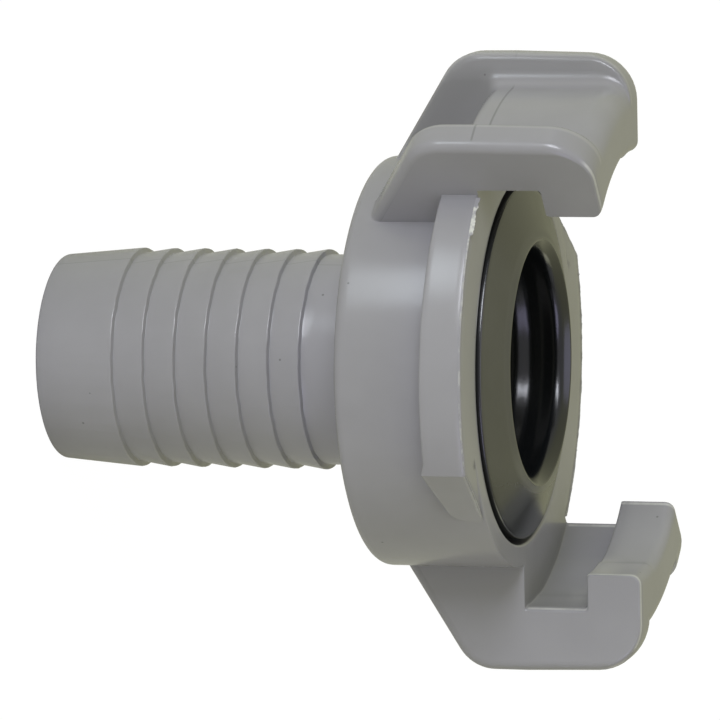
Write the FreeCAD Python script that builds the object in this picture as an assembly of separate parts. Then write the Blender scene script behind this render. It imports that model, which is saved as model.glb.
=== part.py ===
import FreeCAD, Part
import math
import os

# One half of a claw coupling for water hoses: a plastic moulding with a barbed hose tail, a round
# head, two claws and two ledges, and a rubber seal ring held in the head.
# Millimetres. Z is the waterway, from the tail's end face at 0 up to the claws, which are centred
# on +X and -X. Turned half a turn about Z, the coupling is the same again.

# Hose tail
bore_diameter = 15.4
tail_end_diameter = 19.4
tail_end_chamfer = 0.25
nose_length = 7.75
barb_count = 7
barb_pitch = 3.05
barb_crest_diameter = 20.8
barb_valley_diameter = 19.8
barb_step_length = 0.1
neck_length = 5.75

# Head
head_diameter = 38.4
head_length = 13.0
head_rear_chamfer = 0.55
root_depth = 0.6

# Seat of the seal in the head
mouth_diameter = 34.1
mouth_depth = 3.2
undercut_diameter = 35.9
seat_depth = 8.0
funnel_diameter = 22.4

# Seal ring
seal_radial_clearance = 0.15
seal_axial_clearance = 0.2
shoulder_gap = 0.55
shoulder_height = 0.25
shoulder_chamfer = 0.15
lip_height = 1.8
lip_diameter = 22.9
seal_bead_diameter = 20.8
seal_groove_depth = 0.6
seal_bead_length = 2.0
seal_bead_spacing = 3.6
seal_bead_chamfer = 0.45

# Ledges, which the claws of a second coupling hook behind
ledge_diameter = 45.6
ledge_end_angle = 90.1
ledge_thickness = 3.3
ledge_tilt = 1.5
ledge_stop_height = 0.3
ledge_stop_slope = 17.0
ramp_end_angle = 112.7
ramp_rear_setback = 1.05
ramp_front_setback = 0.5
ramp_overlap = 0.02

# Claws
claw_distance = 40.0
claw_outer_diameter = 58.2
claw_draft = 1.6
claw_angle = 44.7
claw_rear_length = 10.95
claw_rear_slope = 58.4
claw_rear_rounding = 4.0
claw_front_rounding = 4.8
claw_edge_chamfer = 0.55
notch_diameter = 46.4
notch_length = 5.9
lip_thickness = 5.3
lip_rounding = 1.0

# Recess between the two end ribs of a claw
rib_angle = 6.6
recess_depth = 3.0
recess_rear_depth = 5.85
recess_rear_rounding = 1.0
recess_floor_chamfer = 0.9

# Radii and heights that follow
bore_radius = bore_diameter / 2
head_radius = head_diameter / 2
root_radius = head_radius - root_depth
mouth_radius = mouth_diameter / 2
undercut_radius = undercut_diameter / 2
funnel_radius = funnel_diameter / 2
claw_radius = claw_outer_diameter / 2
lip_radius = claw_distance / 2
notch_radius = notch_diameter / 2
ledge_radius = ledge_diameter / 2
recess_radius = claw_radius - recess_depth
tail_length = nose_length + (barb_count - 1) * barb_pitch + neck_length
face = tail_length + head_length
seat = face - seat_depth
notch_top = face + notch_length
claw_front = notch_top + lip_thickness

axis_point = FreeCAD.Vector(0, 0, 0)
axis = FreeCAD.Vector(0, 0, 1)
x_direction = FreeCAD.Vector(1, 0, 0)
y_direction = FreeCAD.Vector(0, 1, 0)


def corner_arc(before, corner, after, radius):
    """Start, middle and end of the arc that rounds a corner, no longer than its sides allow."""
    to_before = before - corner
    to_after = after - corner
    reach = 0.49 * min(to_before.Length, to_after.Length)
    to_before.normalize()
    to_after.normalize()
    half_angle = to_before.getAngle(to_after) / 2
    tangent = min(radius / math.tan(half_angle), reach)
    arc_radius = tangent * math.tan(half_angle)
    inward = to_before + to_after
    inward.normalize()
    centre = corner + inward * (arc_radius / math.sin(half_angle))
    return corner + to_before * tangent, centre - inward * arc_radius, corner + to_after * tangent


def corner_chamfer(before, corner, after, size):
    """Start and end of the straight cut that takes a corner off, with no middle point."""
    to_before = before - corner
    to_after = after - corner
    setback = min(size, 0.49 * to_before.Length, 0.49 * to_after.Length)
    return corner + to_before.normalize() * setback, None, corner + to_after.normalize() * setback


def profile(corners, shape_corner=corner_arc):
    """Face in the XZ plane through corners given as (radius, height, size of the arc or chamfer)."""
    points = [FreeCAD.Vector(radius, 0, height) for radius, height, size in corners]
    joints = []
    for number, (radius, height, size) in enumerate(corners):
        corner = points[number]
        if size > 0:
            after = points[(number + 1) % len(points)]
            joints.append(shape_corner(points[number - 1], corner, after, size))
        else:
            joints.append((corner, None, corner))
    edges = []
    for number, (start, middle, end) in enumerate(joints):
        edges.append(Part.makeLine(joints[number - 1][2], start))
        if middle is not None:
            edges.append(Part.Arc(start, middle, end).toShape())
        elif start != end:
            edges.append(Part.makeLine(start, end))
    return Part.Face(Part.Wire(edges))


def sector(face_shape, start_angle, sweep_angle):
    """Revolve a profile about the waterway from one angle, through another."""
    turned = face_shape.copy()
    turned.rotate(axis_point, axis, start_angle)
    return turned.revolve(axis_point, axis, sweep_angle)


def edges_on_plane(solid, angle, wanted):
    """Edges in the half plane at an angle about Z whose middle's radius and height are wanted."""
    chosen = []
    for edge in solid.Edges:
        middle = edge.valueAt((edge.FirstParameter + edge.LastParameter) / 2)
        points = [vertex.Point for vertex in edge.Vertexes] + [middle]
        turns = [math.degrees(math.atan2(each.y, each.x)) for each in points]
        in_plane = all(abs(turn - angle) < 0.01 for turn in turns)
        if in_plane and wanted(math.hypot(middle.x, middle.y), middle.z):
            chosen.append(edge)
    return chosen


def make_tail_and_head():
    """Barbed tail and head in one revolved section, hollow from the start."""
    crest = barb_crest_diameter / 2
    valley = barb_valley_diameter / 2
    corners = [
        (bore_radius, 0, 0),
        (tail_end_diameter / 2, 0, tail_end_chamfer),
    ]
    for number in range(barb_count):
        step = nose_length + number * barb_pitch
        corners.append((crest, step - barb_step_length, 0))
        corners.append((valley, step, 0))
    corners += [
        (valley, tail_length, 0),
        (head_radius, tail_length, head_rear_chamfer),
        (head_radius, face, 0),
        (mouth_radius, face, 0),
        (mouth_radius, face - mouth_depth, 0),
        (undercut_radius, face - mouth_depth, 0),
        (undercut_radius, seat, 0),
        (funnel_radius, seat, 0),
        (bore_radius, seat - (funnel_radius - bore_radius), 0),
    ]
    return sector(profile(corners, corner_chamfer), 0, 360)


def claw_section():
    """Section of a claw through its end ribs: rear slope, outer side, lip and notch."""
    slope = math.tan(math.radians(claw_rear_slope))
    rear = face - claw_rear_length
    front_radius = claw_radius - (claw_front - face) * math.tan(math.radians(claw_draft))
    return profile([
        (root_radius, rear - root_depth / slope, 0),
        (claw_radius, rear + (claw_radius - head_radius) / slope, claw_rear_rounding),
        (claw_radius, face, 0),
        (front_radius, claw_front, claw_front_rounding),
        (lip_radius, claw_front, lip_rounding),
        (lip_radius, notch_top, 0),
        (notch_radius, notch_top, 0),
        (notch_radius, face, 0),
        (root_radius, face, 0),
    ])


def make_recess():
    """What is taken from the back of a claw between its ribs, with its floor edges chamfered."""
    slope = math.tan(math.radians(claw_rear_slope))
    rear = face - claw_rear_length + recess_rear_depth
    beyond_front = claw_front + recess_depth
    beyond_side = claw_radius + recess_depth
    section = profile([
        (root_radius, rear - root_depth / slope, 0),
        (recess_radius, rear + (recess_radius - head_radius) / slope, recess_rear_rounding),
        (recess_radius, beyond_front, 0),
        (beyond_side, beyond_front, 0),
        (beyond_side, rear - claw_rear_length, 0),
        (root_radius, rear - claw_rear_length, 0),
    ])
    half = claw_angle / 2 - rib_angle
    recess = sector(section, -half, 2 * half)

    def on_floor(radius, height):
        return root_radius + 0.01 < radius < recess_radius + 0.01 and height > rear - root_depth

    floor_edges = []
    for angle in (-half, half):
        floor_edges += edges_on_plane(recess, angle, on_floor)
    return recess.makeChamfer(recess_floor_chamfer, floor_edges)


def make_claw():
    """One claw, centred on +X, whose root reaches into the head. Its edges are chamfered, by no
    more than a fifth of the wall outside the notch."""
    half = claw_angle / 2
    claw = sector(claw_section(), -half, claw_angle)
    chamfer = min(claw_edge_chamfer, (claw_radius - notch_radius) / 5)

    def on_outline(radius, height):
        in_notch = radius < notch_radius + 0.01 and face - 0.01 < height < notch_top + 0.01
        return radius > root_radius + 0.01 and not in_notch

    outline_edges = []
    for angle in (-half, half):
        outline_edges += edges_on_plane(claw, angle, on_outline)
    claw = claw.makeChamfer(chamfer, outline_edges)
    return claw.cut(make_recess())


def section_at(angle, inner, outer, low, high):
    """Upright rectangle in the half plane at an angle about Z."""
    wire = Part.makePolygon([
        FreeCAD.Vector(inner, 0, low),
        FreeCAD.Vector(outer, 0, low),
        FreeCAD.Vector(outer, 0, high),
        FreeCAD.Vector(inner, 0, high),
        FreeCAD.Vector(inner, 0, low),
    ])
    wire.rotate(axis_point, axis, angle)
    return wire


def ledge_rear(angle):
    """Height of the tilted rear face at the ledge's outer edge, at an angle about Z."""
    drop = ledge_radius * math.sin(math.radians(angle)) * math.tan(math.radians(ledge_tilt))
    return face - ledge_thickness - drop


def make_ledge():
    """Ledge that runs out of the claw on +X, thickens as it goes and ends in a stop and a ramp."""
    start = (claw_angle - rib_angle) / 2
    stop_rear = ledge_rear(ledge_end_angle) - ledge_stop_height
    ring = sector(profile([
        (root_radius, stop_rear - ledge_thickness, 0),
        (ledge_radius, stop_rear - ledge_thickness, 0),
        (ledge_radius, face, 0),
        (root_radius, face, 0),
    ]), start, ledge_end_angle - start)
    size = 2 * claw_outer_diameter
    corner = FreeCAD.Vector(-size / 2, -size / 2, -size)
    behind = Part.makeBox(size, size, size, corner)
    behind.rotate(axis_point, x_direction, -ledge_tilt)
    behind.translate(FreeCAD.Vector(0, 0, face - ledge_thickness))
    behind_stop = Part.makeBox(size, size, size, corner)
    behind_stop.rotate(axis_point, y_direction, -ledge_stop_slope)
    behind_stop.translate(FreeCAD.Vector(0, 0, stop_rear))
    ledge = ring.cut(behind.common(behind_stop))

    ramp = Part.makeLoft([
        section_at(ledge_end_angle, root_radius, ledge_radius, stop_rear, face),
        section_at(ramp_end_angle, root_radius, head_radius - ramp_overlap,
                   stop_rear + ramp_rear_setback, face - ramp_front_setback),
    ], True, True)
    return ledge.fuse(ramp)


def make_coupling_body():
    """The whole plastic moulding."""
    claw = make_claw()
    ledge = make_ledge()
    pieces = []
    for turn in (0, 180):
        for shape in (claw, ledge):
            piece = shape.copy()
            piece.rotate(axis_point, axis, turn)
            pieces.append(piece)
    return make_tail_and_head().fuse(pieces).removeSplitter()


def make_seal_ring():
    """Rubber ring: flange under the head's undercut, shoulder, cone, lip and two inner beads."""
    flange = undercut_radius - seal_radial_clearance
    flange_top = face - mouth_depth - seal_axial_clearance
    shoulder = mouth_radius - shoulder_gap
    bead = seal_bead_diameter / 2
    groove = bead + seal_groove_depth
    lip = lip_diameter / 2
    front_bead = face + lip_height - seal_bead_length / 2
    rear_bead = front_bead - seal_bead_spacing
    half_bead = seal_bead_length / 2
    corners = [
        (groove, seat, 0),
        (flange, seat, 0),
        (flange, flange_top, 0),
        (shoulder, flange_top, 0),
        (shoulder, face + shoulder_height, shoulder_chamfer),
        (lip, face + lip_height, seal_bead_chamfer),
        (bead, front_bead, seal_bead_chamfer),
        (groove, front_bead - half_bead, 0),
        (groove, rear_bead + half_bead, 0),
        (bead, rear_bead, seal_bead_chamfer),
        (groove, rear_bead - half_bead, 0),
    ]
    return sector(profile(corners, corner_chamfer), 0, 360)


nodes = {
    "coupling_body": make_coupling_body(),
    "seal_ring": make_seal_ring(),
}
os.makedirs("parts", exist_ok=True)
for name, shape in nodes.items():
    if len(shape.Solids) != 1 or not shape.isValid():
        raise RuntimeError(name + " is not one sound solid")
    shape.Solids[0].exportStep(os.path.join("parts", name + ".step"))
    box = shape.BoundBox
    print(name, round(shape.Volume, 1), [round(v, 2) for v in (box.XLength, box.YLength, box.ZLength)])
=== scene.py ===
import math
import random

import bmesh
import bpy
from bpy.props import FloatProperty, FloatVectorProperty, IntProperty, PointerProperty
from bpy.types import Operator, Panel, PropertyGroup
from mathutils import Matrix, Vector
from mathutils.bvhtree import BVHTree


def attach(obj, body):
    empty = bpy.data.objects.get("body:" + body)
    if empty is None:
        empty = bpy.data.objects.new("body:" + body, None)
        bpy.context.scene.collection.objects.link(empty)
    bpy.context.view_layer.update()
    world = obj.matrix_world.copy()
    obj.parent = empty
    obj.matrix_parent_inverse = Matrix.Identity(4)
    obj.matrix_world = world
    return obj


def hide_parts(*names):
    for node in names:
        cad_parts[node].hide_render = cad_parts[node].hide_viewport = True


bl_info = {
    "name": "Hose claw coupling",
    "version": (1, 0, 0),
    "blender": (4, 5, 0),
    "location": "3D View > Sidebar > Coupling",
    "description": "A moulded claw coupling half for water hoses, with its rubber seal",
    "category": "Object",
}

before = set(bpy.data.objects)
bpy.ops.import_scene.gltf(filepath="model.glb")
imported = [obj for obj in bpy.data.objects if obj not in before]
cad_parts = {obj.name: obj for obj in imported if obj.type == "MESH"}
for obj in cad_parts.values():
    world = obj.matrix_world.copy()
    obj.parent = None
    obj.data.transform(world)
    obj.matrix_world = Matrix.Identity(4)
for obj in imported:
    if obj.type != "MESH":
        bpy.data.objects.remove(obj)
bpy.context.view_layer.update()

# The shape is worked out in millimetres and written to the meshes in metres. A claw is centred on
# +X, its twin on -X. An outline is a list of (radius, height) points in a half plane through Z.
MILLIMETRE = 0.001
# Metres within which doubles are merged, and degrees past which an edge stays sharp.
WELD = 2e-6
SHARP = 32.0
# Attribute that holds how closed-in a place is; the plastic is painted darker there, as painted
# shade.
NOOK_SHADE = "nook_shade"


def length_property(name, millimetres, description):
    """A length in metres whose default is written in millimetres."""
    return FloatProperty(name=name, description=description, default=millimetres * MILLIMETRE,
                         min=0.0, precision=5, subtype="DISTANCE", unit="LENGTH")


def colour_property(name, colour, description):
    """A plain colour."""
    return FloatVectorProperty(name=name, description=description, default=colour, min=0.0,
                               max=1.0, size=3, subtype="COLOR")


class CouplingSizes(PropertyGroup):
    """Sizes of the moulding and of its seal."""
    bore: length_property("Bore", 15.4, "Diameter of the waterway")
    tail_end: length_property("Tail end", 19.4, "Diameter of the tail at its end face")
    nose: length_property("Nose", 7.75, "Length of the first long barb")
    barb_pitch: length_property("Barb pitch", 3.05, "Length of each further barb")
    barb_crest: length_property("Barb crest", 20.8, "Diameter over the barbs")
    barb_valley: length_property("Barb valley", 19.8, "Diameter between the barbs")
    barb_count: IntProperty(name="Barbs", description="Number of barbs", default=7, min=1)
    neck: length_property("Neck", 5.75, "Plain length between the barbs and the head")
    head: length_property("Head", 38.4, "Diameter of the head")
    head_length: length_property("Head length", 13.0, "Length of the head")
    ledge: length_property("Ledge", 45.6, "Diameter over the two ledges")
    ledge_thickness: length_property("Ledge thickness", 3.3, "Thickness of a ledge at the claw")
    claw_outer: length_property("Claws", 58.2, "Diameter over the claws")
    claw_distance: length_property("Claw distance", 40.0, "Diameter between the claws' lips")
    notch: length_property("Notch", 46.4, "Diameter of the notches behind the lips")
    notch_length: length_property("Notch length", 5.9, "Length of the notches")
    lip: length_property("Lip", 5.3, "Thickness of a claw's lip")
    recess: length_property("Recess", 3.0, "Depth of the recess in a claw's back")


class CouplingFinish(PropertyGroup):
    """Colours of the plastic and the rubber."""
    plastic: colour_property("Plastic", (0.3, 0.296, 0.324), "Colour of the moulded plastic")
    plastic_pale: colour_property("Pale plastic", (0.44, 0.44, 0.44), "Colour of scuffs")
    # Also the colour of the painted highlight lines on the claws' edges.
    worn: colour_property("Worn edges", (0.62, 0.62, 0.62), "Colour of the worn edges of the claws")
    flash: colour_property("Flash", (0.62, 0.62, 0.59), "Colour of the torn flash on the edges")
    rubber: colour_property("Rubber", (0.006, 0.007, 0.009), "Colour of the seal")
    # The bloom is partly the rubber's own, partly painted sheen.
    bloom_and_sheen: colour_property("Bloom", (0.056, 0.056, 0.05), "Colour of the bloom on the seal's cone")
    roughness: FloatProperty(name="Roughness", description="Roughness of the plastic",
                             default=0.23, min=0.0, max=1.0, subtype="FACTOR")


class CouplingStage(PropertyGroup):
    """Floor and lights."""
    floor: colour_property("Floor", (0.82, 0.82, 0.82), "Colour of the floor")
    floor_width: FloatProperty(name="Floor width", description="Side of the floor", default=12.0,
                               min=1.0, subtype="DISTANCE", unit="LENGTH")
    key: FloatProperty(name="Key light", description="Power of the key light", default=11.3,
                       min=0.0, subtype="POWER", unit="POWER")
    card: FloatProperty(name="Card", description="Power of the card that shows on the head",
                        default=0.07, min=0.0, subtype="POWER", unit="POWER")


# Outlines

# Share of a side that the arcs at its two ends may take up, and lengths that count as none.
ARC_SHARE = 0.96
LEAST_ROOM = 1e-4
TINY = 1e-6
# A barb's step wanders by these millimetres, in so many waves round half the tail.
STEP_WAVES = (3, 7, 11, 16)
STEP_WANDER = 0.012
CREST_WANDER = 0.01


def rounded(before, corner, after, radius, steps, shares):
    """Points of the arc that rounds a corner, always steps + 1 of them. It takes up no more than
    its share of the side before it and of the side after it."""
    if steps == 0:
        return [tuple(corner)]
    corner = Vector(corner)
    to_before = Vector(before) - corner
    to_after = Vector(after) - corner
    room = min(to_before.length * shares[0], to_after.length * shares[1])
    if room < LEAST_ROOM or radius <= 0:
        return [tuple(corner)] * (steps + 1)
    to_before.normalize()
    to_after.normalize()
    half_angle = to_before.angle(to_after) / 2
    tangent = min(radius / math.tan(half_angle), room)
    arc_radius = tangent * math.tan(half_angle)
    inward = (to_before + to_after).normalized()
    centre = corner + inward * (arc_radius / math.sin(half_angle))
    start = corner + to_before * tangent - centre
    end = corner + to_after * tangent - centre
    sweep = math.pi - 2 * half_angle
    points = []
    for step in range(steps + 1):
        share = step / steps
        weight_end = math.sin(sweep * share) / math.sin(sweep)
        weight_start = math.sin(sweep * (1 - share)) / math.sin(sweep)
        points.append(tuple(centre + start * weight_start + end * weight_end))
    return points


def outline(corners):
    """An open outline. Each corner is (radius, height, rounding, arc steps, points to the next)."""
    points = []
    for number, (radius, height, rounding, steps, between) in enumerate(corners):
        if 0 < number < len(corners) - 1:
            before, after = corners[number - 1], corners[number + 1]
            shares = [ARC_SHARE * rounding / max(rounding + other[2], TINY)
                      for other in (before, after)]
            arc = rounded(before[:2], (radius, height), after[:2], rounding, steps, shares)
        else:
            arc = [(radius, height)]
        if points:
            gap = corners[number - 1][4]
            last = points[-1]
            for step in range(1, gap + 1):
                share = step / (gap + 1)
                points.append((last[0] + (arc[0][0] - last[0]) * share,
                               last[1] + (arc[0][1] - last[1]) * share))
        points.extend(arc)
    return points


class Shape:
    """Heights and radii that follow from the sizes, in millimetres."""

    def __init__(self, sizes):
        def mm(metres):
            return metres / MILLIMETRE
        self.bore = mm(sizes.bore) / 2
        self.tail_end = mm(sizes.tail_end) / 2
        self.nose = mm(sizes.nose)
        self.pitch = mm(sizes.barb_pitch)
        self.crest = mm(sizes.barb_crest) / 2
        self.valley = mm(sizes.barb_valley) / 2
        self.barbs = sizes.barb_count
        self.tail = self.nose + (self.barbs - 1) * self.pitch + mm(sizes.neck)
        self.face = self.tail + mm(sizes.head_length)
        self.head = mm(sizes.head) / 2
        self.ledge = mm(sizes.ledge) / 2
        self.ledge_thickness = mm(sizes.ledge_thickness)
        self.claw = mm(sizes.claw_outer) / 2
        self.lip = mm(sizes.claw_distance) / 2
        self.notch = mm(sizes.notch) / 2
        self.notch_top = self.face + mm(sizes.notch_length)
        self.front = self.notch_top + mm(sizes.lip)
        self.recess = mm(sizes.recess)
        # Inside of the head.
        self.mouth = 17.05
        self.mouth_depth = 3.2
        self.undercut = 17.95
        self.seat = self.face - 8.0
        self.funnel = 11.2
        # Claws.
        self.foot = self.face - 11.8
        self.claw_rear = self.face - 10.95
        self.recess_rear = 5.5
        self.rear_slope = math.radians(58.4)
        self.claw_draft = math.radians(1.6)
        self.end_rounding = 0.9
        self.end_inset = self.end_rounding + 0.04
        self.root_fillet = 0.4
        # Ledges: the angles where one ends and where its ramp ends, and the shape of their rear.
        self.ledge_end = 90.1
        self.ramp_end = 112.7
        self.ledge_tilt = 0.0262
        self.stop_rear = self.face - self.ledge_thickness - 0.6 - 0.3
        self.stop_slope = 0.3057
        self.ramp_rear = 1.05
        self.ramp_curve = 1.5
        self.ramp_front = 0.37
        # Edges, and the shares of the rows of points between the claw's floor and the head's edge.
        self.head_edge = 0.2
        self.ledge_edge = 0.25
        self.floor_rows = (1.0, 0.66, 0.33, 0.0)

    def end_plane(self, side):
        """Angle and offset of the plane of a claw's end face, on the side of its ledge (1) or its
        plain side (-1)."""
        return (math.radians(20.94), 0.335) if side > 0 else (math.radians(19.55), 1.261)

    def end_angle(self, radius, side=1):
        """Half the angle of a claw at a radius, on one side."""
        taper, offset = self.end_plane(side)
        return taper + math.asin(offset * math.cos(taper) / max(radius, self.head))

    def claw_outline(self, sunk, inset, side_share):
        """Outline of a claw. sunk goes from 0 on a rib to 1 in the recess between the ribs, and
        inset pulls the outline in where the claw's ends are rounded. side_share goes from -1 to 1
        across the claw, whose rear lies a little further back at -1."""
        slope = math.tan(self.rear_slope)
        rear = self.claw_rear + self.recess_rear * sunk + inset / math.sin(self.rear_slope)
        rear -= 0.25 * (1 - side_share) * (1 - sunk)
        side = self.claw - self.recess * sunk - inset
        draft = math.tan(self.claw_draft) * (1 - sunk)
        front = self.front - 0.3 * inset
        front_side = side - (front - self.face) * draft
        rear_rounding = 4.0 - 3.0 * sunk - inset
        front_rounding = 4.4 - 2.1 * sunk - inset
        # The lip and the notch bend a little towards the claw's two ends.
        plain = max(-side_share, 0)
        lip = self.lip - 0.3 * plain ** 4 + 0.25 * plain * inset
        notch = self.notch + 0.2 * side_share ** 3 + 0.5 * plain * inset
        notch_top = self.notch_top + 0.3 * plain * inset
        points = outline([
            (self.head, self.foot, 0, 0, 0),
            (self.head, rear, self.root_fillet, 4, 6),
            (side, rear + (side - self.head) / slope, rear_rounding, 9, 4),
            (side, self.face, 0, 0, 5),
            (front_side, front, front_rounding, 11, 4),
            (lip, front, 1.0 - 0.3 * inset, 6, 3),
            (lip, notch_top, 0.3, 3, 2),
            (notch, notch_top, 0.3, 3, 3),
            (notch, self.face, 0.15, 3, 0),
            (self.head, self.face, 0, 0, 0),
        ])[:-1]
        reach = self.ledge - self.ledge_edge
        return points + self.floor_points(reach, self.face) + self.edge_rows(0)

    def floor_points(self, reach, height):
        """Points at a height between a reach and the head's radius."""
        return [(self.head + (reach - self.head) * share, height) for share in self.floor_rows]

    def edge_rows(self, drop):
        """The head's front edge: flat where a ledge is flush with it, rounded where it is free."""
        points = []
        steps = 3
        for step in range(1, steps + 1):
            turn = math.pi / 2 * step / steps
            flat = self.head - self.head_edge * step / steps
            curved = self.head - self.head_edge * (1 - math.cos(turn))
            low = self.face - self.head_edge * (1 - math.sin(turn))
            points.append((flat + (curved - flat) * drop, self.face + (low - self.face) * drop))
        return points

    def ledge_outline(self, turn):
        """Outline of the head with its ledge at an angle in degrees."""
        start, end = self.ledge_end, self.ramp_end
        run = min(max((turn - start) / (end - start), 0.0), 1.0)
        if turn <= start:
            reach = self.ledge
        elif turn < end:
            # The ramp's outside is a flat chord from the ledge's edge to the head.
            sweep = math.radians(end - start)
            near = Vector((self.ledge, 0))
            far = Vector((math.cos(sweep), math.sin(sweep))) * self.head
            chord = far - near
            normal = Vector((chord.y, -chord.x)).normalized()
            bearing = math.atan2(normal.y, normal.x)
            reach = near.dot(normal) / math.cos(math.radians(turn - start) - bearing)
        else:
            reach = self.head

        def rear_at(radius):
            angle = math.radians(turn)
            if turn <= start:
                tilt = radius * math.sin(angle) * self.ledge_tilt
                stop = self.stop_rear + self.stop_slope * radius * math.cos(angle)
                return min(self.face - self.ledge_thickness - tilt, stop)
            # The last quarter of the ramp curves away.
            corner = max((run - 0.75) / 0.25, 0.0)
            curve = 1 - math.sqrt(1 - min(corner, 1.0) ** 2)
            return self.stop_rear + self.ramp_rear * run + self.ramp_curve * curve

        front = self.face - self.ramp_front * run ** 1.5
        rounding = min(self.ledge_edge, 0.4 * (reach - self.head))
        points = outline([
            (self.head, self.foot, 0, 0, 0),
            (self.head, self.row_above_foot(turn), 0, 0, 4),
            (self.head, rear_at(self.head), 0, 0, 3),
            (reach, rear_at(reach), rounding, 3, 6),
            (reach, front, rounding, 3, 0),
            (self.head - 1, front, 0, 0, 0),
        ])[:-1]
        points += self.floor_points(points[-1][0], front)[1:]
        return points + self.edge_rows(min(max(run * 4, 0.0), 1.0))

    def front_edge(self, turn):
        """Radius and height of the front outer edge of the ledge, or of the head past it."""
        points = self.ledge_outline(turn)
        front = points[-1 - len(self.edge_rows(0))][1]
        return max(radius for radius, height in points), front

    def row_above_foot(self, turn):
        """Height of the head's second row, which at both ends meets the outline of a claw's end."""
        start, end = 40, 140
        share = min(max((turn - start) / (end - start), 0.0), 1.0)
        near, far = (self.claw_outline(0, self.end_inset, side)[1][1] for side in (1, -1))
        return near + (far - near) * share

    def head_span(self):
        """Angles in degrees between which the head is free, from a claw to its twin."""
        return (math.degrees(self.end_angle(self.head)),
                180 - math.degrees(self.end_angle(self.head, -1)))


def claw_columns(shape):
    """Columns across half a claw, from its end to the recess: (distance, sunk, inset)."""
    rounding = shape.end_rounding
    rib = 2.6
    rib_edge = 0.7
    edge_sweep = math.radians(85)
    wall = rib + rib_edge + 0.03
    fillet = 1.5
    steps = 6
    columns = [(0.0, 0.0, shape.end_inset)]
    for step in range(steps + 1):
        turn = math.pi / 2 * step / steps
        columns.append((rounding * (1 - math.cos(turn)), 0.0, rounding * (1 - math.sin(turn))))
    columns += [(1.35, 0.0, 0.0), (1.9, 0.0, 0.0), (rib, 0.0, 0.0)]
    for step in range(1, steps + 1):
        turn = edge_sweep * step / steps
        columns.append((rib + rib_edge * math.sin(turn),
                        rib_edge * (1 - math.cos(turn)) / shape.recess, 0.0))
    for step in range(steps + 1):
        turn = math.pi / 2 * step / steps
        depth = shape.recess - fillet * (1 - math.sin(turn))
        columns.append((wall + fillet * (1 - math.cos(turn)), depth / shape.recess, 0.0))
    return columns


def place(radius, height, angle):
    """A point in metres from a radius and a height in millimetres and an angle in radians."""
    return Vector((radius * math.cos(angle), radius * math.sin(angle), height)) * MILLIMETRE


def strip_faces(columns):
    """Quads between neighbouring columns of vertex numbers of the same length."""
    faces = []
    for left, right in zip(columns, columns[1:]):
        for row in range(len(left) - 1):
            faces.append((left[row], right[row], right[row + 1], left[row + 1]))
    return faces


def turned_outline(shape, angle):
    """Outline at an angle: from the head's foot row back along the tail, through the bore and out
    to the head's face. It is the same all round, but for the barbs' slightly wavy steps."""
    tail = [
        (shape.head, shape.foot, 0, 0, 0),
        (shape.head, shape.tail, 0.9, 6, 10),
        (shape.valley, shape.tail, 0.5, 5, 4),
    ]
    for number in reversed(range(shape.barbs)):
        sway = sum(math.sin(2 * waves * angle + 2.4 * number * waves) for waves in STEP_WAVES)
        step = shape.nose + number * shape.pitch + STEP_WANDER * sway
        crest = shape.crest - CREST_WANDER * abs(sway)
        tail.append((shape.valley, step + 0.05, 0.06, 2, 0))
        tail.append((crest, step - 0.07, 0.13, 4, 3 if number else 8))
    tail += [
        (shape.tail_end, 0, 0.35, 5, 2),
        (shape.bore, 0, 0.35, 5, 14),
        (shape.bore, shape.seat - (shape.funnel - shape.bore), 0, 0, 4),
        (shape.funnel, shape.seat, 0, 0, 4),
        (shape.undercut, shape.seat, 0, 0, 3),
        (shape.undercut, shape.face - shape.mouth_depth, 0, 0, 1),
        (shape.mouth, shape.face - shape.mouth_depth, 0, 0, 3),
        (shape.mouth, shape.face, 0.25, 3, 3),
        (shape.head - shape.head_edge, shape.face, 0, 0, 0),
    ]
    return outline(tail)


def ledge_turns(shape):
    """Angles in degrees of the columns of the head and its ledge, closer where they bend."""
    first, last = shape.head_span()
    count = 88
    beside_claw = 0.4
    least_gap = 0.12
    turns = {first, last, shape.ledge_end, shape.ramp_end}
    turns.update(first + beside_claw * step for step in range(1, 4))
    turns.update(last - beside_claw * step for step in range(1, 4))
    turns.update(first + (last - first) * step / count for step in range(count))
    # Where the ledge goes over into its ramp, and where the ramp ends.
    turns.update(86.5 + 0.6 * step for step in range(6))
    turns.update(106.5 + 0.5 * step for step in range(13))
    spaced = []
    for turn in sorted(turns):
        if not spaced or turn - spaced[-1] > least_gap:
            spaced.append(turn)
    if last - spaced[-1] > TINY:
        spaced[-1] = last
    return spaced


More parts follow.
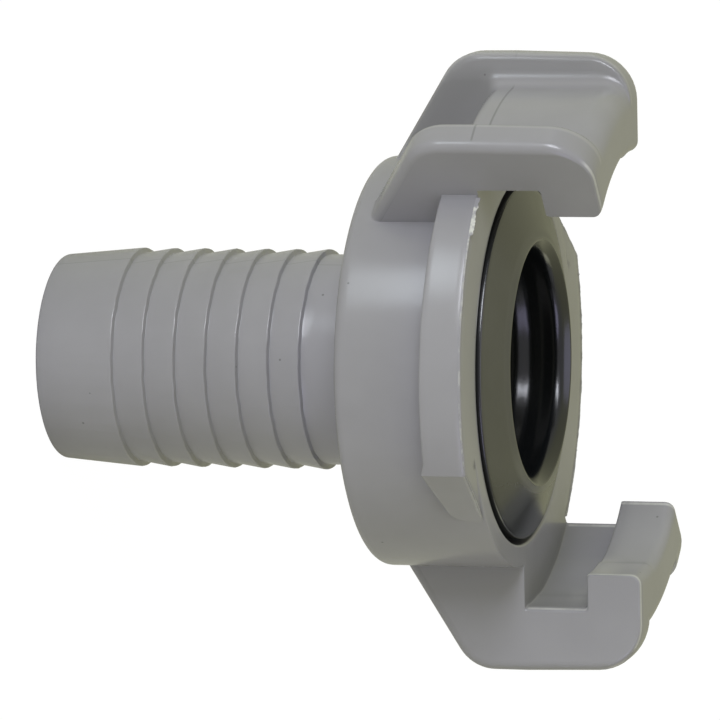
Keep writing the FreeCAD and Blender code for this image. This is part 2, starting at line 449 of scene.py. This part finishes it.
def build_half_body(shape):
    """Vertices and faces of the half of the moulding that holds one claw and one ledge."""
    half = claw_columns(shape)
    inner = half[-1][0]
    middle = 14
    # Each column is (side share from -1 to 1, distance from its end face, sunk, inset).
    claw = [(-1, distance, sunk, inset) for distance, sunk, inset in half]
    for step in range(1, middle):
        claw.append((2 * step / middle - 1, inner, 1.0, 0.0))
    claw += [(1, distance, sunk, inset) for distance, sunk, inset in reversed(half)]

    def claw_angle(column, radius):
        side, distance = column[:2]
        left, right = (end * (shape.end_angle(radius, end) - distance / max(radius, shape.head))
                       for end in (-1, 1))
        return left + (right - left) * (side + 1) / 2

    vertices = []

    def add(radius, height, angle):
        vertices.append(place(radius, height, angle))
        return len(vertices) - 1

    claw_rows = []
    for column in claw:
        points = shape.claw_outline(column[2], column[3], column[0])
        claw_rows.append([add(r, z, claw_angle(column, r)) for r, z in points])

    # Up to this angle the ledge's columns lean with the claw's end face.
    upright = 32
    turns = ledge_turns(shape)
    ledge_rows = []
    for turn in turns:
        fade = min(max((upright - turn) / (upright - turns[0]), 0.0), 1.0)
        column = []
        for radius, height in shape.ledge_outline(turn):
            lean = (shape.end_angle(radius) - shape.end_angle(shape.head)) * fade
            column.append(add(radius, height, math.radians(turn) + lean))
        ledge_rows.append(column)

    ring_angles = [claw_angle(column, shape.head) for column in claw]
    ring_angles += [math.radians(turn) for turn in turns[1:]]
    ring_rows = [[add(r, z, angle) for r, z in turned_outline(shape, angle)]
                 for angle in ring_angles]

    faces = strip_faces(claw_rows) + strip_faces(ledge_rows)
    faces += [tuple(reversed(face)) for face in strip_faces(ring_rows)]

    # The flat end faces of the claw, between its outline and that of the head beside it.
    floor = len(shape.edge_rows(0)) + len(shape.floor_rows)
    ledge_side, beside = claw_rows[-1], ledge_rows[0]
    faces.append(tuple(ledge_side[1:len(ledge_side) - floor + 1])
                 + tuple(reversed(beside[2:len(beside) - floor + 1])))
    plain_side = claw_rows[0]
    twin = []
    for number in ledge_rows[-1]:
        point = vertices[number]
        vertices.append(Vector((-point.x, -point.y, point.z)))
        twin.append(len(vertices) - 1)
    faces.append(tuple(plain_side[1:]) + tuple(reversed(twin[2:-1])))
    return vertices, faces


def add_object(name, data):
    """A new object, linked to the scene."""
    made = bpy.data.objects.new(name, data)
    bpy.context.scene.collection.objects.link(made)
    return made


def mesh_object(name, vertices, faces):
    """A new object with a mesh of its own."""
    mesh = bpy.data.meshes.new(name)
    mesh.from_pydata(vertices, [], faces)
    return add_object(name, mesh)


def weld(piece):
    """Merge doubles, point the faces outwards, check the skin is closed, and smooth it."""
    work = bmesh.new()
    work.from_mesh(piece.data)
    bmesh.ops.remove_doubles(work, verts=work.verts, dist=WELD)
    bmesh.ops.dissolve_degenerate(work, dist=WELD / 4, edges=work.edges)
    bmesh.ops.recalc_face_normals(work, faces=work.faces)
    open_edges = [edge for edge in work.edges if len(edge.link_faces) != 2]
    if open_edges:
        raise RuntimeError(f"{piece.name} has {len(open_edges)} open edges")
    if work.calc_volume(signed=True) < 0:
        bmesh.ops.reverse_faces(work, faces=work.faces)
    work.to_mesh(piece.data)
    work.free()
    for polygon in piece.data.polygons:
        polygon.use_smooth = True
    piece.data.set_sharp_from_angle(angle=math.radians(SHARP))


def paint_nook_shade(piece, lowest, reach=9.0, rays=72):
    """Store how closed-in each face corner above a height is, 0 in the open: painted shade darkens
    the plastic there.
    """
    lift = 0.05
    grazing = 0.05
    many_corners = 8
    mesh = piece.data
    work = bmesh.new()
    work.from_mesh(mesh)
    tree = BVHTree.FromBMesh(work)
    work.free()
    directions = []
    for number in range(rays):
        level = 1 - 2 * (number + 0.5) / rays
        turn = number * math.pi * (3 - math.sqrt(5))
        across = math.sqrt(1 - level * level)
        directions.append(Vector((across * math.cos(turn), across * math.sin(turn), level)))
    depth = []
    for vertex in mesh.vertices:
        hidden = total = 0.0
        if vertex.co.z > lowest * MILLIMETRE:
            start = vertex.co + vertex.normal * lift * MILLIMETRE
            for direction in directions:
                weight = direction.dot(vertex.normal)
                if weight > grazing:
                    total += weight
                    if tree.ray_cast(start, direction, reach * MILLIMETRE)[0] is not None:
                        hidden += weight
        depth.append(hidden / total if total else 0.0)
    nook_shade = mesh.attributes.new(NOOK_SHADE, "FLOAT", "CORNER")
    for polygon in mesh.polygons:
        # The claws' flat end faces, which have many corners, stay plain.
        flat = polygon.loop_total > many_corners
        for loop in polygon.loop_indices:
            nook_shade.data[loop].value = 0.0 if flat else depth[mesh.loops[loop].vertex_index]


# Repeats


def repeat_tree(name):
    """Geometry Nodes: turn copies of a piece about Z, join them and give them a material."""
    tree = bpy.data.node_groups.new(name, "GeometryNodeTree")

    def socket(label, kind, way="INPUT"):
        return tree.interface.new_socket(label, in_out=way, socket_type="NodeSocket" + kind)

    socket("Geometry", "Geometry")
    count = socket("Count", "Int")
    weld_distance = socket("Weld distance", "Float")
    finish = socket("Finish", "Material")
    socket("Geometry", "Geometry", "OUTPUT")
    add = tree.nodes.new
    inputs = add("NodeGroupInput")
    outputs = add("NodeGroupOutput")
    points = add("GeometryNodePoints")
    index = add("GeometryNodeInputIndex")
    step = add("ShaderNodeMath")
    step.operation = "DIVIDE"
    step.inputs[0].default_value = math.tau
    turn = add("ShaderNodeMath")
    turn.operation = "MULTIPLY"
    rotation = add("ShaderNodeCombineXYZ")
    copies = add("GeometryNodeInstanceOnPoints")
    realize = add("GeometryNodeRealizeInstances")
    merge = add("GeometryNodeMergeByDistance")
    coat = add("GeometryNodeSetMaterial")
    for source, out, target, into in (
            (inputs, "Count", points, "Count"), (inputs, "Count", step, 1),
            (index, 0, turn, 0), (step, 0, turn, 1), (turn, 0, rotation, "Z"),
            (points, 0, copies, "Points"), (inputs, "Geometry", copies, "Instance"),
            (rotation, 0, copies, "Rotation"), (copies, 0, realize, 0),
            (realize, 0, merge, "Geometry"), (inputs, "Weld distance", merge, "Distance"),
            (merge, 0, coat, "Geometry"), (inputs, "Finish", coat, "Material"),
            (coat, 0, outputs, 0)):
        tree.links.new(source.outputs[out], target.inputs[into])
    return tree, {"count": count.identifier, "weld": weld_distance.identifier,
                  "finish": finish.identifier}


def repeated(name, vertices, faces, count, finish):
    """One piece made of a sector and its copies turned about Z."""
    sector = mesh_object(name + "_sector", vertices, faces)
    tree, sockets = repeat_tree(name + " copies")
    modifier = sector.modifiers.new("Copies", "NODES")
    modifier.node_group = tree
    modifier[sockets["count"]] = count
    modifier[sockets["weld"]] = WELD
    modifier[sockets["finish"]] = finish
    evaluated = sector.evaluated_get(bpy.context.evaluated_depsgraph_get())
    mesh = bpy.data.meshes.new_from_object(evaluated)
    mesh.name = name
    bpy.data.objects.remove(sector, do_unlink=True)
    piece = add_object(name, mesh)
    mesh.materials.clear()
    mesh.materials.append(finish)
    weld(piece)
    return piece


# Finishes


class Value:
    """A shader socket on which sums can be written."""

    def __init__(self, sheet, socket):
        self.sheet = sheet
        self.socket = socket

    def sum(self, operation, *values):
        return self.sheet.node("ShaderNodeMath", {"operation": operation}, values)

    def __add__(self, other):
        return self.sum("ADD", self, other)

    def __sub__(self, other):
        return self.sum("SUBTRACT", self, other)

    def __rsub__(self, other):
        return self.sum("SUBTRACT", other, self)

    def __mul__(self, other):
        return self.sum("MULTIPLY", self, other)

    def __truediv__(self, other):
        return self.sum("DIVIDE", self, other)

    def __abs__(self):
        return self.sum("ABSOLUTE", self)

    __radd__ = __add__
    __rmul__ = __mul__


class Sheet:
    """The node sheet of a material or a world."""

    def __init__(self, owner):
        self.owner = owner
        owner.use_nodes = True
        self.tree = owner.node_tree
        self.tree.nodes.clear()

    def node(self, kind, settings=None, values=(), output=0):
        """Add a node, set it up, fill its sockets by number or name, and give back one output."""
        made = self.tree.nodes.new(kind)
        for key, setting in (settings or {}).items():
            setattr(made, key, setting)
        pairs = values.items() if isinstance(values, dict) else enumerate(values)
        for key, value in pairs:
            if isinstance(value, Value):
                self.tree.links.new(value.socket, made.inputs[key])
            else:
                if made.inputs[key].type == "RGBA":
                    value = tuple(value)[:3] + (1.0,)
                made.inputs[key].default_value = value
        self.last = made
        return Value(self, made.outputs[output]) if made.outputs else None

    def place(self):
        return self.node("ShaderNodeTexCoord", output="Object")

    def axes(self):
        """X, Y and Z of the place, in millimetres."""
        scaled = self.node("ShaderNodeVectorMath", {"operation": "SCALE"},
                           {"Vector": self.place(), "Scale": 1000.0})
        self.node("ShaderNodeSeparateXYZ", values=[scaled])
        return [Value(self, self.last.outputs[number]) for number in range(3)]

    def noise(self, scale, detail=3.0, roughness=0.55, where=None):
        """Noise from 0 to 1 over the object, scale waves to a metre."""
        return self.node("ShaderNodeTexNoise", {"noise_dimensions": "3D"},
                         {"Vector": where or self.place(), "Scale": scale, "Detail": detail,
                          "Roughness": roughness})

    def between(self, value, low, high):
        """0 below low, 1 above high, eased."""
        return self.node("ShaderNodeMapRange", {"interpolation_type": "SMOOTHSTEP"},
                         {"Value": value, "From Min": low, "From Max": high})

    def below(self, value, low, high):
        """1 below low, 0 above high, eased."""
        return 1 - self.between(value, low, high)

    def mix(self, factor, first, second):
        """A mix of two colours, which sit in the node's sockets 6 and 7."""
        return self.node("ShaderNodeMix", {"data_type": "RGBA"}, {0: factor, 6: first, 7: second},
                         output=2)

    def bump(self, height, distance, strength):
        return self.node("ShaderNodeBump", values={"Strength": strength, "Distance": distance,
                                                   "Height": height})

    def surface(self, **values):
        """The shader itself, joined to the output."""
        names = {key.replace("_", " ").title().replace("Ior", "IOR"): value
                 for key, value in values.items()}
        shader = self.node("ShaderNodeBsdfPrincipled", values=names)
        self.node("ShaderNodeOutputMaterial", values={"Surface": shader})
        return self.owner


def toned(colour, share):
    """A colour made darker or paler."""
    return [value * share for value in colour]


class Places:
    """Masks from 0 to 1 that pick out places on a piece by X, Y and Z in millimetres."""

    def __init__(self, sheet, shape):
        self.sheet = sheet
        self.shape = shape
        self.x, self.y, self.z = sheet.axes()
        self.radius_squared = self.x * self.x + self.y * self.y

    def past(self, near, far):
        """0 within the radius near, 1 past the radius far."""
        return self.sheet.between(self.radius_squared, near ** 2, far ** 2)

    def above(self, low, high):
        """0 below the height low, 1 above the height high, both measured from the face."""
        return self.sheet.between(self.z, self.shape.face + low, self.shape.face + high)

    def claw_depth(self):
        """Depth in millimetres under the nearer of a claw's two end planes."""
        inside = []
        for side in (1, -1):
            taper, offset = self.shape.end_plane(side)
            inside.append(abs(self.x) * math.sin(taper) - abs(self.y) * math.cos(taper)
                          + offset * math.cos(taper))
        ledge_side = self.sheet.between(self.x * self.y, -1, 1)
        return inside[0] * ledge_side + inside[1] * (1 - ledge_side)

    def parting(self):
        """Thin lines where the parts of the mould met: along the tail and round the claws. They
        are strong on the web and on the rib beside the ledge, and faint on the other rib."""
        sheet = self.sheet
        tail_top = self.shape.tail
        tail = sheet.below(abs(self.y), 0.03, 0.10) * sheet.below(self.z, tail_top - 1, tail_top)
        outside = self.past(25.7, 26.0)
        outside = outside * sheet.below(self.y * self.y / self.radius_squared, 0.112, 0.122)
        beside = sheet.between(self.x * self.y, -160, -130)
        outside = outside * (beside + (1 - beside) * (self.past(28.4, 28.8) * 0.3))
        claw = sheet.below(abs(self.z - (self.shape.face + 0.4)), 0.05, 0.14) * outside
        return tail * 0.5 + claw

    def recess_shade(self):
        """The ramp of the recess, between the ribs, where painted shade darkens the plastic."""
        ramp = (1 - self.above(-2.4, -1.0)) * self.sheet.below(self.y * self.y, 46, 56)
        return ramp * self.past(20.0, 21.5)

    def wall_shade(self, depth):
        """The walls of the recess, on the inner sides of the ribs, where painted shade darkens the
        plastic.
        """
        wall_shade = self.sheet.between(depth, 2.9, 3.2) * self.sheet.below(depth, 4.2, 4.8)
        return wall_shade * self.past(26.4, 27.0) * (1 - self.past(28.6, 28.9))

    def worn_and_highlit_edges(self, depth, flow):
        """Pale lines just inside the end planes, along the edges of the lips and notches: partly
        wear, partly painted highlight.
        """
        worn = self.sheet.below(abs(depth - 0.27), 0.06, 0.2) * self.above(0.1, 0.4)
        worn = worn * (1 - self.past(26.5, 27.2))
        return worn * (self.sheet.between(flow, 0.35, 0.6) * 0.5 + 0.5)

    def rib_edge_highlights(self, depth):
        """Pale lines on the inner edges of the ribs, a painted highlight."""
        edge = self.sheet.below(abs(depth - 2.8), 0.1, 0.35) * self.above(-10.9, -10.7)
        under = (1 - self.past(24.0, 24.5)) * self.above(-0.6, -0.2)
        return edge * self.past(19.3, 19.5) * (1 - under)

    def scuffs(self):
        """Fine scratches in patches."""
        sheet = self.sheet
        drawn_out = sheet.node("ShaderNodeMapping", values={
            "Vector": sheet.place(), "Rotation": (0.5, 0.3, 0.7), "Scale": (1.0, 0.12, 1.0)})
        scratch = sheet.between(sheet.noise(2600.0, 3.0, where=drawn_out), 0.66, 0.74)
        return scratch * sheet.between(sheet.noise(160.0, 2.0), 0.6, 0.72)

    def specks(self):
        """Tiny dots, far apart."""
        cells = self.sheet.node("ShaderNodeTexVoronoi", values={"Vector": self.sheet.place(),
                                                                "Scale": 260.0})
        return self.sheet.below(cells, 0.022, 0.04)


def plastic_material(finish, shape):
    """Semi-matt moulded plastic with a fine grain, parting lines and specks, painted shade in nooks
    and on the recess's ramp and walls, and pale edges that are partly wear and partly painted
    highlight.
    """
    sheet = Sheet(bpy.data.materials.new("moulded_grey_plastic"))
    places = Places(sheet, shape)
    plastic = finish.plastic
    flow = sheet.noise(420.0, 4.0, 0.62)
    depth = places.claw_depth()
    parting = places.parting()
    cloud = sheet.between(sheet.noise(90.0, 3.0), 0.3, 0.7)
    # Painted shade: the plastic is darker where the stored attribute says a place is closed-in.
    nook_shade = sheet.node("ShaderNodeAttribute", {"attribute_name": NOOK_SHADE}, output="Fac")
    shade = sheet.mix(cloud, toned(plastic, 0.96), toned(plastic, 1.04))
    for mask, colour in ((nook_shade, toned(plastic, 0.7)),
                         # Painted shade on the recess's ramp.
                         (places.recess_shade() * 0.85, toned(plastic, 0.62)),
                         (parting * 0.5, toned(plastic, 0.42)),
                         # Painted shade on the recess's walls.
                         (places.wall_shade(depth) * 0.6, toned(plastic, 0.76)),
                         # Pale edges along the lips and notches: partly wear, partly painted
                         # highlight.
                         (places.worn_and_highlit_edges(depth, flow) * 0.6, finish.worn),
                         # Painted highlight along the ribs' inner edges.
                         (places.rib_edge_highlights(depth) * 0.13, finish.worn),
                         (places.specks() * 0.6, toned(plastic, 0.3)),
                         (places.scuffs() * 0.06, finish.plastic_pale)):
        shade = sheet.mix(mask, shade, colour)
    roughness = finish.roughness + (flow - 0.5) * 0.08
    height = sheet.noise(5200.0, 2.0) * 0.3 + flow * 0.2 - parting * 1.6
    normal = sheet.bump(height, 0.00003, 0.25)
    return sheet.surface(base_color=shade, roughness=roughness, normal=normal, ior=1.49,
                         specular_ior_level=0.55)


def flash_material(finish):
    """Torn, whitened edge of the moulding."""
    sheet = Sheet(bpy.data.materials.new("torn_flash"))
    x, y = sheet.axes()[:2]
    # Whitest beside the claw on +X, where the flash is torn most.
    torn = sheet.between(x, 18.0, 19.5) * sheet.between(y, 0, 4) * 0.7 + 0.3
    tear = sheet.between(sheet.noise(900.0, 3.0), 0.45, 0.62) * torn
    shade = sheet.mix(tear, finish.plastic, finish.flash)
    normal = sheet.bump(sheet.noise(6000.0), 0.00004, 0.5)
    return sheet.surface(base_color=shade, roughness=tear * 0.2 + 0.4, normal=normal, ior=1.49,
                         specular_ior_level=0.45)


def rubber_material(finish, shape, away):
    """Smooth black rubber. Its cone has a grey bloom, partly its own and partly painted sheen;
    painted shade fades it in the direction away and on the side where across is low, and painted
    sheen lies in pale streaks at both ends of the away axis.
    """
    sheet = Sheet(bpy.data.materials.new("smooth_black_rubber"))
    places = Places(sheet, shape)
    x, y = places.x, places.y
    along = x * away[0] + y * away[1]
    across = x * away[1] - y * away[0]
    cone = places.past(11.3, 11.9) * places.above(0.1, 0.4)
    # Painted shade: the bloom fades in the direction away, and on the side where across is low.
    worn = sheet.between(along, 8.5, 13.5)
    far = sheet.between(across, -11.0, -8.5)
    patches = sheet.between(sheet.noise(140.0, 4.0), 0.3, 0.7)
    crest = 1 - places.past(11.9, 12.8)
    bloom_and_sheen = cone * (1 - worn * 0.9) * (patches * 0.3 + 0.7 + crest * 0.9) * (far * 0.85 + 0.15)
    # Painted sheen: pale streaks on the cone's crest at both ends of the away axis.
    painted_sheen = cone * crest * sheet.between(abs(along), 7.0, 10.5)
    shade = sheet.mix(bloom_and_sheen, finish.rubber, finish.bloom_and_sheen)
    shade = sheet.mix(painted_sheen * (patches * 0.3 + 0.3), shade, toned(finish.bloom_and_sheen, 3.0))
    grain = sheet.noise(3600.0, 2.0)
    roughness = 0.2 + bloom_and_sheen * 0.14 + grain * 0.03
    normal = sheet.bump(grain, 0.00002, 0.3)
    return sheet.surface(base_color=shade, roughness=roughness, normal=normal, ior=1.52,
                         specular_ior_level=0.9)


def floor_material(stage):
    """Pale floor that the camera sees as white with a soft shadow."""
    sheet = Sheet(bpy.data.materials.new("pale_floor"))
    tone = sheet.noise(3.0)
    shade = sheet.mix(tone, stage.floor, toned(stage.floor, 0.97))
    matt = sheet.node("ShaderNodeBsdfDiffuse", values={"Color": shade})
    white = sheet.node("ShaderNodeEmission", values={"Color": (1, 1, 1), "Strength": 1.04})
    camera = sheet.node("ShaderNodeLightPath", output="Is Camera Ray")
    mixed = sheet.node("ShaderNodeMixShader", values=[camera * 0.95, matt, white])
    sheet.node("ShaderNodeOutputMaterial", values={"Surface": mixed})
    return sheet.owner


def studio_world(behind, away):
    """Soft room light. The camera sees plain white. Gloss sees a warmer room in the direction
    called behind than the other way, and the light that comes from away is neutral."""
    sheet = Sheet(bpy.data.worlds.new("studio"))
    direction = sheet.node("ShaderNodeTexCoord")
    facing = sheet.node("ShaderNodeVectorMath", {"operation": "DOT_PRODUCT"}, [direction, behind],
                        output="Value")
    mirrored = sheet.mix(sheet.between(facing, -0.3, 0.6), (0.36, 0.36, 0.38), (0.46, 0.46, 0.31))
    turned = sheet.node("ShaderNodeVectorMath", {"operation": "DOT_PRODUCT"}, [direction, away],
                        output="Value")
    room = sheet.mix(sheet.between(turned, 0.0, 0.8), (0.445, 0.45, 0.27), (0.43, 0.43, 0.37))
    gloss = sheet.node("ShaderNodeLightPath", output="Is Glossy Ray")
    camera = sheet.node("ShaderNodeLightPath", output="Is Camera Ray")
    light = sheet.mix(gloss, room, mirrored)
    light = sheet.mix(camera, light, (1.0, 1.0, 1.0))
    backdrop = sheet.node("ShaderNodeBackground", values={"Color": light})
    sheet.node("ShaderNodeOutputWorld", values={"Surface": backdrop})
    return sheet.owner


# Operators


class COUPLING_OT_body(Operator):
    """Build the moulded body with its tail, claws and ledges"""
    bl_idname = "coupling.body"
    bl_label = "Moulded body"

    def execute(self, context):
        shape = Shape(context.scene.coupling_sizes)
        vertices, faces = build_half_body(shape)
        finish = plastic_material(context.scene.coupling_finish, shape)
        piece = repeated("moulded_body", vertices, faces, 2, finish)
        # Painted shade for the closed-in places of the body.
        paint_nook_shade(piece, shape.tail + 0.5)
        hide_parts("coupling_body")
        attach(piece, "root")
        return {"FINISHED"}


class COUPLING_OT_seal(Operator):
    """Build the rubber seal ring in the head"""
    bl_idname = "coupling.seal"
    bl_label = "Seal ring"

    def execute(self, context):
        shape = Shape(context.scene.coupling_sizes)
        # The flange has a little room in the undercut, and the shoulder has more in the mouth.
        flange = shape.undercut - 0.15
        flange_top = shape.face - 3.4
        shoulder = shape.mouth - 0.55
        crest = 11.45
        bead = 10.4
        groove = 10.9
        soft = 2.2
        top = shape.face + 1.8
        profile = outline([
            (groove, shape.seat, 0, 0, 3),
            (flange, shape.seat, 0.3, 3, 3),
            (flange, flange_top, 0.3, 3, 1),
            (shoulder, flange_top, 0.1, 1, 3),
            (shoulder, shape.face + 0.25, 0.2, 5, 10),
            (crest, top, 0.3, 5, 1),
            (bead, top - 1.0, soft, 8, 1),
            (groove, top - 2.6, soft, 6, 1),
            (groove, top - 3.9, soft, 6, 1),
            (bead, top - 5.5, soft, 8, 1),
            (groove, top - 7.1, 1.0, 5, 4),
            (groove, shape.seat, 0, 0, 0),
        ])[:-1]
        sectors = 36
        across = 8
        columns = []
        vertices = []
        for step in range(across + 1):
            angle = math.tau / sectors * step / across
            column = []
            for radius, height in profile:
                vertices.append(place(radius, height, angle))
                column.append(len(vertices) - 1)
            columns.append(column + column[:1])
        finish = rubber_material(context.scene.coupling_finish, shape, (-0.89, 0.455))
        piece = repeated("rubber_seal", vertices, strip_faces(columns), sectors, finish)
        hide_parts("seal_ring")
        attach(piece, "root")
        return {"FINISHED"}


class COUPLING_OT_flash(Operator):
    """Build the thin ragged flash along the front edges of the ledges and the head"""
    bl_idname = "coupling.flash"
    bl_label = "Edge flash"

    def execute(self, context):
        shape = Shape(context.scene.coupling_sizes)
        draw = random.Random(11)
        gap = 0.6
        first, last = (turn + side * gap for turn, side in zip(shape.head_span(), (1, -1)))
        count = 460
        # Up to this angle the flash is tall, past it the flash is low.
        tall_end = 33
        low = 0.07
        vertices = []
        faces = []
        for half, tallest in ((0, 0.32), (180, 0.09)):
            level = 0.6
            base = len(vertices)
            for step in range(count + 1):
                turn = first + (last - first) * step / count
                level = min(max(level + (draw.random() - 0.5) * 0.6, 0.0), 1.0)
                tear = 1.0 if draw.random() < 0.03 else level
                if turn < tall_end:
                    tall = tallest * (0.5 + 0.5 * tear)
                else:
                    tall = low * (0.1 + 0.9 * tear)
                reach, front = shape.front_edge(turn)
                angle = math.radians(turn + half)
                # A thin wedge, sunk into the edge but for its tip.
                sunk = 0.3 * tall
                for radius, height in ((reach - 0.28 - sunk, front - 0.02),
                                       (reach - 0.03, front - 0.26 - sunk),
                                       (reach - 0.03, front + tall)):
                    vertices.append(place(radius, height, angle))
            columns = [[base + 3 * step + number for number in (0, 1, 2, 0)]
                       for step in range(count + 1)]
            end = base + 3 * count
            faces += strip_faces(columns)
            faces += [(base, base + 1, base + 2), (end, end + 2, end + 1)]
        finish = flash_material(context.scene.coupling_finish)
        piece = repeated("edge_flash", vertices, faces, 1, finish)
        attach(piece, "root")
        return {"FINISHED"}


# Stage

# Each lamp: name, direction (toward the camera, up in the picture, along Z), size in metres, share
# of the key light's power, colour, and whether it shows in reflections.
LAMPS = (
    ("key", (0.78, 0.56, 0.16), 0.6, 0.81, (0.89, 0.91, 1.0), True),
    ("low", (0.7, -0.7, 0.0), 0.9, 0.31, (0.68, 0.65, 1.0), True),
    ("below", (-0.5, -0.87, 0.0), 0.9, 0.15, (1.0, 1.0, 0.82), True),
    ("end", (0.15, 0.0, 1.0), 0.9, 0.18, (0.62, 0.61, 1.0), True),
    ("top", (-0.5, 0.87, 0.0), 0.9, 0.14, (0.78, 1.0, 0.5), False),
    ("over", (0.05, 1.0, -0.1), 0.3, 0.06, (0.9, 0.95, 1.0), True),
)
LAMP_DISTANCE = 1.2
LAMP_CENTRE = Vector((0, 0, 0.035))
ALONG = Vector((0, 0, 1))


def add_camera(toward, up):
    """The camera, which is tipped towards the claws and rolled so that the tail points left."""
    tip = math.radians(16.1)
    roll = math.radians(0.78)
    # Millimetres: how far the middle of the face is right of, below and ahead of the camera.
    face = Vector((0, 0, 44.8))
    to_right, below, away = 15.22, 0.18, 541.0
    level = ALONG * math.cos(tip) - toward * math.sin(tip)
    right = level * math.cos(roll) + up * math.sin(roll)
    down = level * math.sin(roll) - up * math.cos(roll)
    ahead = -(ALONG * math.sin(tip) + toward * math.cos(tip))
    spot = face - right * to_right - down * below - ahead * away
    data = bpy.data.cameras.new("camera")
    data.sensor_width = 36.0
    data.lens = 290.0
    data.clip_end = 100.0
    camera = add_object("camera", data)
    axes = Matrix((right, -down, -ahead)).transposed()
    camera.matrix_world = Matrix.Translation(spot * MILLIMETRE) @ axes.to_4x4()
    bpy.context.scene.camera = camera


def add_lamp(name, size, power, colour):
    """A round area lamp, not yet in its place."""
    data = bpy.data.lights.new(name, "AREA")
    data.shape = "DISK"
    data.size = size
    data.energy = power
    data.color = colour
    return add_object(name, data)


class COUPLING_OT_stage(Operator):
    """Set up the floor, the lights and the camera"""
    bl_idname = "coupling.stage"
    bl_label = "Stage"

    def execute(self, context):
        scene = context.scene
        stage = scene.coupling_stage
        half = stage.floor_width / 2
        corners = [(-half, -half, 0), (half, -half, 0), (half, half, 0), (-half, half, 0)]
        floor = mesh_object("floor", corners, [(0, 1, 2, 3)])
        floor.data.materials.append(floor_material(stage))

        # Where the camera is, about Z, and what is up in its picture.
        turn = math.radians(62.95)
        toward = Vector((math.cos(turn), math.sin(turn), 0))
        up = Vector((math.sin(turn), -math.cos(turn), 0))
        add_camera(toward, up)
        for name, (to_camera, to_top, to_front), size, share, colour, shows in LAMPS:
            lamp = add_lamp(name, size, stage.key * share, colour)
            aim = (toward * to_camera + up * to_top + ALONG * to_front).normalized()
            lamp.location = LAMP_CENTRE + aim * LAMP_DISTANCE
            lamp.rotation_euler = (-aim).to_track_quat("-Z", "Y").to_euler()
            lamp.visible_glossy = shows

        # A card on the floor, out of view, that only shows as a soft highlight on the head.
        card = add_lamp("card", 0.06, stage.card, (0.85, 0.93, 1.0))
        card.location = toward * 0.122 + up * 0.0985 + ALONG * 0.002
        card.rotation_euler = (math.pi, 0, 0)
        card.visible_camera = False
        card.visible_diffuse = False

        scene.world = studio_world(ALONG * 0.6 - toward * 0.8, -ALONG * 0.4 - toward * 0.9)
        scene.view_settings.view_transform = "Standard"
        return {"FINISHED"}


GROUPS = {"coupling_sizes": CouplingSizes, "coupling_finish": CouplingFinish,
          "coupling_stage": CouplingStage}
OPERATORS = (COUPLING_OT_body, COUPLING_OT_seal, COUPLING_OT_flash, COUPLING_OT_stage)


class COUPLING_PT_panel(Panel):
    """Sizes, finish and steps of the coupling"""
    bl_idname = "COUPLING_PT_panel"
    bl_label = "Hose claw coupling"
    bl_space_type = "VIEW_3D"
    bl_region_type = "UI"
    bl_category = "Coupling"

    def draw(self, context):
        for group, kind in GROUPS.items():
            box = self.layout.box()
            box.label(text=group.split("_")[1].title())
            for name in kind.__annotations__:
                box.prop(getattr(context.scene, group), name)
        for operator in OPERATORS:
            self.layout.operator(operator.bl_idname)


classes = (*GROUPS.values(), *OPERATORS, COUPLING_PT_panel)


def register():
    for each in classes:
        bpy.utils.register_class(each)
    for group, kind in GROUPS.items():
        setattr(bpy.types.Scene, group, PointerProperty(type=kind))


def unregister():
    for group in GROUPS:
        delattr(bpy.types.Scene, group)
    for each in reversed(classes):
        bpy.utils.unregister_class(each)


def main():
    """Build the whole scene."""
    register()
    bpy.ops.coupling.body()
    bpy.ops.coupling.seal()
    bpy.ops.coupling.flash()
    bpy.ops.coupling.stage()
    bpy.context.view_layer.update()


if __name__ == "__main__":
    main()
